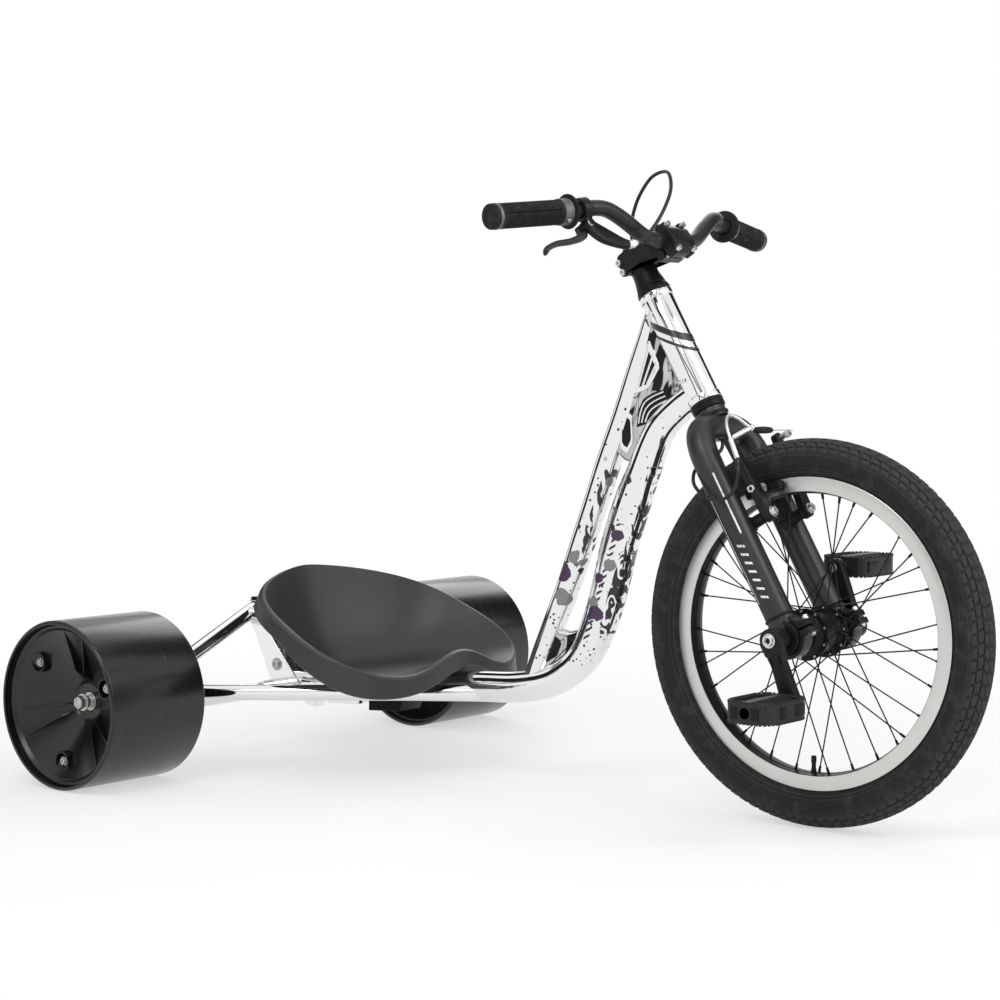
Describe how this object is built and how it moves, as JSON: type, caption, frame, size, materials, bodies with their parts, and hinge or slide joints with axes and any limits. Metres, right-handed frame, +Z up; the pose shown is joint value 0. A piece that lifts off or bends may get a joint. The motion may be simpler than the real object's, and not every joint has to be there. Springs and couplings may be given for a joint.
{
  "type": "drift trike",
  "caption": "Low drift trike with a chrome tube frame, moulded bucket seat, pedal-driven front wheel, rim brake and wide smooth plastic sleeves on the rear wheels.",
  "frame": {"origin": "on the ground, midway between the trike's front and rear limits, in its middle plane", "axes": "+X forward, +Y to the rider's left, +Z up; the trike stands on its three wheels on Z = 0"},
  "size_m": [1.369, 0.951, 0.8873],
  "materials": {
    "cable_housing_black": "black cable housing",
    "chrome_plate": "polished chrome plate",
    "gloss_black_plastic": "hard black plastic, polished by the road",
    "grey_anodised_alloy": "dark grey anodised",
    "grip_rubber": "soft matt black rubber",
    "machined_alloy": "silver machined alloy",
    "matt_black_plastic": "fine matt black moulding",
    "satin_black_paint": "satin black powder coat",
    "tyre_rubber": "matt black rubber",
    "zinc_steel": "zinc plated steel"
  },
  "bodies": {
    "frame": {"front_frame": "chrome_plate", "rear_frame": "chrome_plate", "lower_headset_cup": "satin_black_paint", "upper_headset_cup": "satin_black_paint", "seat": "matt_black_plastic", "rear_axle_left": "zinc_steel", "rear_axle_right": "zinc_steel", "axle_nut_left": "zinc_steel", "axle_nut_right": "zinc_steel", "axle_spacer_left": "machined_alloy", "axle_spacer_right": "machined_alloy"},
    "steering": {"fork": "satin_black_paint", "headset_spacer": "satin_black_paint", "stem": "satin_black_paint", "stem_faceplate": "satin_black_paint", "handlebar": "satin_black_paint", "brake_perch": "satin_black_paint", "barrel_adjuster": "machined_alloy", "brake_cable": "cable_housing_black", "axle_housing_left": "satin_black_paint", "axle_housing_right": "satin_black_paint", "clamp_cap_left": "grey_anodised_alloy", "clamp_cap_right": "grey_anodised_alloy", "crank_bearing_left": "zinc_steel", "crank_bearing_right": "zinc_steel", "grip_left": "grip_rubber", "grip_right": "grip_rubber", "grip_ring_left": "grey_anodised_alloy", "grip_ring_right": "grey_anodised_alloy", "brake_bolt_left": "zinc_steel", "brake_bolt_right": "zinc_steel"},
    "front_wheel": {"front_tyre": "tyre_rubber", "front_rim": "machined_alloy", "front_hub": "satin_black_paint", "valve": "satin_black_paint"},
    "cranks": {"crank_spindle": "zinc_steel", "crank_left": "satin_black_paint", "crank_right": "satin_black_paint", "crank_bolt_left": "zinc_steel", "crank_bolt_right": "zinc_steel", "pedal_axle_left": "zinc_steel", "pedal_axle_right": "zinc_steel"},
    "brake_lever": {"brake_lever": "satin_black_paint"},
    "brake_arm_right": {"brake_arm_right": "satin_black_paint", "brake_pad_right": "grip_rubber", "brake_noodle": "machined_alloy", "cable_boot": "cable_housing_black"},
    "brake_arm_left": {"brake_arm_left": "satin_black_paint", "brake_pad_left": "grip_rubber"},
    "pedal_left": {"pedal_left": "satin_black_paint"},
    "rear_wheel_left": {"rear_sleeve_left": "gloss_black_plastic", "rear_core_left": "matt_black_plastic", "rear_bearing_inner_left": "zinc_steel", "rear_bearing_outer_left": "zinc_steel"},
    "pedal_right": {"pedal_right": "satin_black_paint"},
    "rear_wheel_right": {"rear_sleeve_right": "gloss_black_plastic", "rear_core_right": "matt_black_plastic", "rear_bearing_inner_right": "zinc_steel", "rear_bearing_outer_right": "zinc_steel"}
  },
  "joints": [
    {"name": "steering_turn", "type": "hinge", "parent": "frame", "child": "steering", "pos_m": [0.4245, 0, 0.26], "axis": [-0.4979, 0, 0.8672], "range_deg": [-45, 45]},
    {"name": "front_wheel_spin", "type": "hinge", "parent": "steering", "child": "front_wheel", "pos_m": [0.4245, 0, 0.26], "axis": [0, 1, 0], "continuous": true},
    {"name": "crank_spin", "type": "hinge", "parent": "steering", "child": "cranks", "pos_m": [0.4245, 0, 0.26], "axis": [0, 1, 0], "continuous": true},
    {"name": "pedal_left_spin", "type": "hinge", "parent": "cranks", "child": "pedal_left", "pos_m": [0.39335, 0.1584, 0.33909], "axis": [0, 1, 0], "continuous": true},
    {"name": "pedal_right_spin", "type": "hinge", "parent": "cranks", "child": "pedal_right", "pos_m": [0.45565, -0.1584, 0.18091], "axis": [0, 1, 0], "continuous": true},
    {"name": "rear_wheel_left_spin", "type": "hinge", "parent": "frame", "child": "rear_wheel_left", "pos_m": [-0.5605, 0.386, 0.124], "axis": [0, 1, 0], "continuous": true},
    {"name": "rear_wheel_right_spin", "type": "hinge", "parent": "frame", "child": "rear_wheel_right", "pos_m": [-0.5605, -0.386, 0.124], "axis": [0, 1, 0], "continuous": true},
    {"name": "brake_lever_pull", "type": "hinge", "parent": "steering", "child": "brake_lever", "pos_m": [0.16096, -0.165, 0.79939], "axis": [-0.8672, 0, -0.4979], "range_deg": [0, 18], "stiffness_Nm_per_rad": 0.6, "springref_deg": -17.19},
    {"name": "brake_arm_right_close", "type": "hinge", "parent": "steering", "child": "brake_arm_right", "pos_m": [0.37606, -0.047, 0.41668], "axis": [-0.8672, 0, -0.4979], "range_deg": [0, 2.2]},
    {"name": "brake_arm_left_close", "type": "hinge", "parent": "steering", "child": "brake_arm_left", "pos_m": [0.37606, 0.047, 0.41668], "axis": [0.8672, 0, 0.4979], "range_deg": [0, 2.2]}
  ],
  "couplings": [
    {"joint": "brake_arm_right_close", "follows": "brake_lever_pull", "ratio": 0.12},
    {"joint": "brake_arm_left_close", "follows": "brake_lever_pull", "ratio": 0.12}
  ]
}
